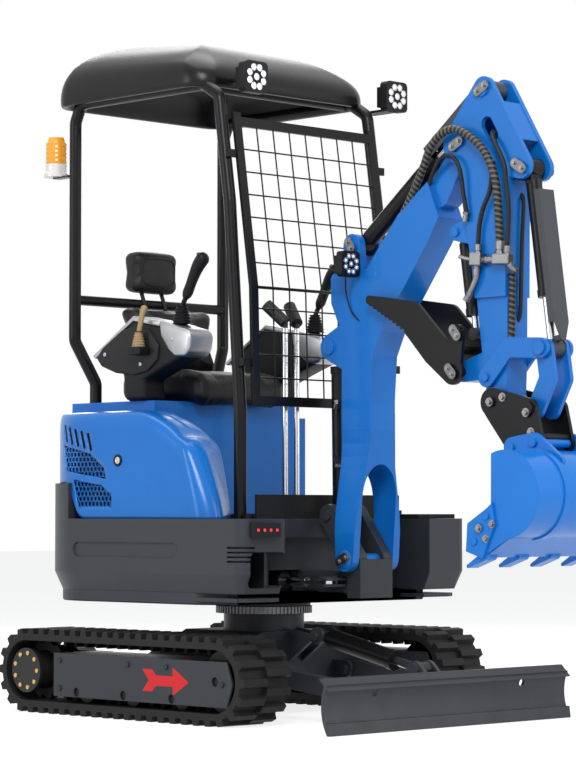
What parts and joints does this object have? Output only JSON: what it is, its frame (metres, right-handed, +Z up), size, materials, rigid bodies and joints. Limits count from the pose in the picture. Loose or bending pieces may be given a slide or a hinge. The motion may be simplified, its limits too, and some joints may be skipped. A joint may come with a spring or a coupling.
{
  "type": "mini excavator",
  "caption": "Tracked mini excavator with a tube canopy, dozer blade, swing boom, arm, bucket on a hitch and a thumb, all jointed.",
  "frame": {"origin": "on the ground under the slew axis", "axes": "+X forward, towards the blade; +Y to the machine's left; +Z up"},
  "size_m": [2.0677, 1.08, 2.215],
  "materials": {
    "amber": "gloss",
    "black": "satin",
    "blue": "gloss",
    "chrome": "polished",
    "grey": "satin",
    "plastic": "matte",
    "red": "gloss",
    "rubber": "matte",
    "seat": "matte",
    "steel": "matte"
  },
  "bodies": {
    "undercarriage": {"track_frame": "grey", "track_right": "rubber", "track_left": "rubber", "sprockets": "black", "idlers": "black", "rollers": "black", "slew_ring": "steel"},
    "blade": {"blade": "grey"},
    "blade_barrel": {"blade_barrel": "black"},
    "blade_rod": {"blade_rod": "chrome"},
    "upper": {"deck": "grey", "counterweight": "grey", "right_cover": "blue", "left_cover": "blue", "engine": "steel", "seat_base": "blue", "floor": "plastic", "seat": "seat", "headrest": "seat", "right_console": "plastic", "left_console": "plastic", "joysticks": "plastic", "blade_lever": "plastic", "travel_levers": "chrome", "pedals": "plastic", "canopy_frame": "black", "roof": "plastic", "mesh_guard": "black", "canopy_lamps": "plastic", "beacon": "amber", "marker_lamp": "red"},
    "hood": {"engine_hood": "blue"},
    "swing_post": {"swing_post": "grey"},
    "swing_barrel": {"swing_barrel": "black"},
    "swing_rod": {"swing_rod": "chrome"},
    "boom": {"boom": "blue", "boom_lamp": "plastic"},
    "boom_barrel": {"boom_barrel": "black"},
    "boom_rod": {"boom_rod": "chrome"},
    "arm": {"arm": "blue"},
    "arm_barrel": {"arm_barrel": "black"},
    "arm_rod": {"arm_rod": "chrome"},
    "bucket_barrel": {"bucket_barrel": "black"},
    "bucket_rod": {"bucket_rod": "chrome"},
    "lever": {"lever": "blue"},
    "link": {"link": "blue"},
    "bucket": {"hitch": "black", "bucket": "blue"},
    "thumb": {"thumb": "black"},
    "thumb_barrel": {"thumb_barrel": "black"},
    "thumb_rod": {"thumb_rod": "chrome"}
  },
  "joints": [
    {"name": "slew", "type": "hinge", "parent": "undercarriage", "child": "upper", "pos_m": [0, 0, 0.345], "axis": [0, 0, 1], "continuous": true},
    {"name": "blade_lift", "type": "hinge", "parent": "undercarriage", "child": "blade", "pos_m": [0.205, 0, 0.142], "axis": [0, 1, 0], "range_deg": [-25, 20]},
    {"name": "blade_barrel_tilt", "type": "hinge", "parent": "undercarriage", "child": "blade_barrel", "pos_m": [0.276, 0, 0.256], "axis": [0, 1, 0], "range_deg": [-29, 23]},
    {"name": "blade_rod_slide", "type": "slide", "parent": "blade_barrel", "child": "blade_rod", "axis": [0.9774, 0, -0.2113], "range_m": [-0.054, 0.043]},
    {"name": "hood_open", "type": "hinge", "parent": "upper", "child": "hood", "pos_m": [-0.589, 0, 0.966], "axis": [0, 1, 0], "range_deg": [0, 60]},
    {"name": "swing", "type": "hinge", "parent": "upper", "child": "swing_post", "pos_m": [0.4, 0, 0.428], "axis": [0, 0, 1], "range_deg": [-50, 60]},
    {"name": "swing_barrel_turn", "type": "hinge", "parent": "upper", "child": "swing_barrel", "pos_m": [-0.14, -0.12, 0.428], "axis": [0, 0, 1], "range_deg": [-5, 5]},
    {"name": "swing_rod_slide", "type": "slide", "parent": "swing_barrel", "child": "swing_rod", "axis": [0.9984, 0.0572, 0], "range_m": [-0.068, 0.082]},
    {"name": "boom_lift", "type": "hinge", "parent": "swing_post", "child": "boom", "pos_m": [0.465, 0, 0.5], "axis": [0, 1, 0], "range_deg": [0, 105]},
    {"name": "boom_barrel_tilt", "type": "hinge", "parent": "swing_post", "child": "boom_barrel", "pos_m": [0.36195, 0, 0.63554], "axis": [0, 1, 0], "range_deg": [0, 110]},
    {"name": "boom_rod_slide", "type": "slide", "parent": "boom_barrel", "child": "boom_rod", "axis": [-0.0147, 0, 0.9999], "range_m": [0, 0.272]},
    {"name": "arm_crowd", "type": "hinge", "parent": "boom", "child": "arm", "pos_m": [0.898, 0, 1.755], "axis": [0, -1, 0], "range_deg": [-8, 105]},
    {"name": "arm_barrel_tilt", "type": "hinge", "parent": "boom", "child": "arm_barrel", "pos_m": [0.45201, 0, 1.48016], "axis": [0, -1, 0], "range_deg": [-2, 19]},
    {"name": "arm_rod_slide", "type": "slide", "parent": "arm_barrel", "child": "arm_rod", "axis": [0.7854, 0, 0.619], "range_m": [-0.254, 0.021]},
    {"name": "bucket_curl", "type": "hinge", "parent": "arm", "child": "bucket", "pos_m": [1.046, 0, 0.972], "axis": [0, 1, 0], "range_deg": [-45, 75]},
    {"name": "lever_turn", "type": "hinge", "parent": "arm", "child": "lever", "pos_m": [1.013, 0, 1.04717], "axis": [0, 1, 0], "range_deg": [-33, 54]},
    {"name": "link_turn", "type": "hinge", "parent": "lever", "child": "link", "pos_m": [1.22197, 0, 1.12625], "axis": [0, 1, 0], "range_deg": [-15, 9]},
    {"name": "bucket_barrel_tilt", "type": "hinge", "parent": "arm", "child": "bucket_barrel", "pos_m": [1.14605, 0, 1.6673], "axis": [0, 1, 0], "range_deg": [-1, 1]},
    {"name": "bucket_rod_slide", "type": "slide", "parent": "bucket_barrel", "child": "bucket_rod", "axis": [0.139, 0, -0.9903], "range_m": [-0.12, 0.199]},
    {"name": "thumb_close", "type": "hinge", "parent": "arm", "child": "thumb", "pos_m": [0.90703, 0, 1.06674], "axis": [0, 1, 0], "range_deg": [-120, 0]},
    {"name": "thumb_barrel_tilt", "type": "hinge", "parent": "arm", "child": "thumb_barrel", "pos_m": [0.88202, 0, 1.49035], "axis": [0, 1, 0], "range_deg": [0, 24]},
    {"name": "thumb_rod_slide", "type": "slide", "parent": "thumb_barrel", "child": "thumb_rod", "axis": [0.1411, 0, -0.99], "range_m": [0, 0.129]}
  ],
  "couplings": [
    {"joint": "blade_barrel_tilt", "follows": "blade_lift", "ratio": 1.1158},
    {"joint": "blade_rod_slide", "follows": "blade_lift", "m_per_rad": 0.1187},
    {"joint": "swing_barrel_turn", "follows": "swing", "ratio": -0.0205},
    {"joint": "swing_rod_slide", "follows": "swing", "m_per_rad": 0.0754},
    {"joint": "boom_barrel_tilt", "follows": "boom_lift", "ratio": 1.0038},
    {"joint": "boom_rod_slide", "follows": "boom_lift", "m_per_rad": 0.1474},
    {"joint": "arm_barrel_tilt", "follows": "arm_crowd", "ratio": 0.1639},
    {"joint": "arm_rod_slide", "follows": "arm_crowd", "m_per_rad": -0.1379},
    {"joint": "lever_turn", "follows": "bucket_curl", "ratio": 0.7166},
    {"joint": "link_turn", "follows": "bucket_curl", "ratio": -0.1884},
    {"joint": "bucket_barrel_tilt", "follows": "bucket_curl", "ratio": -0.0118},
    {"joint": "bucket_rod_slide", "follows": "bucket_curl", "m_per_rad": 0.1513},
    {"joint": "thumb_barrel_tilt", "follows": "thumb_close", "ratio": -0.1932},
    {"joint": "thumb_rod_slide", "follows": "thumb_close", "m_per_rad": -0.0609}
  ]
}
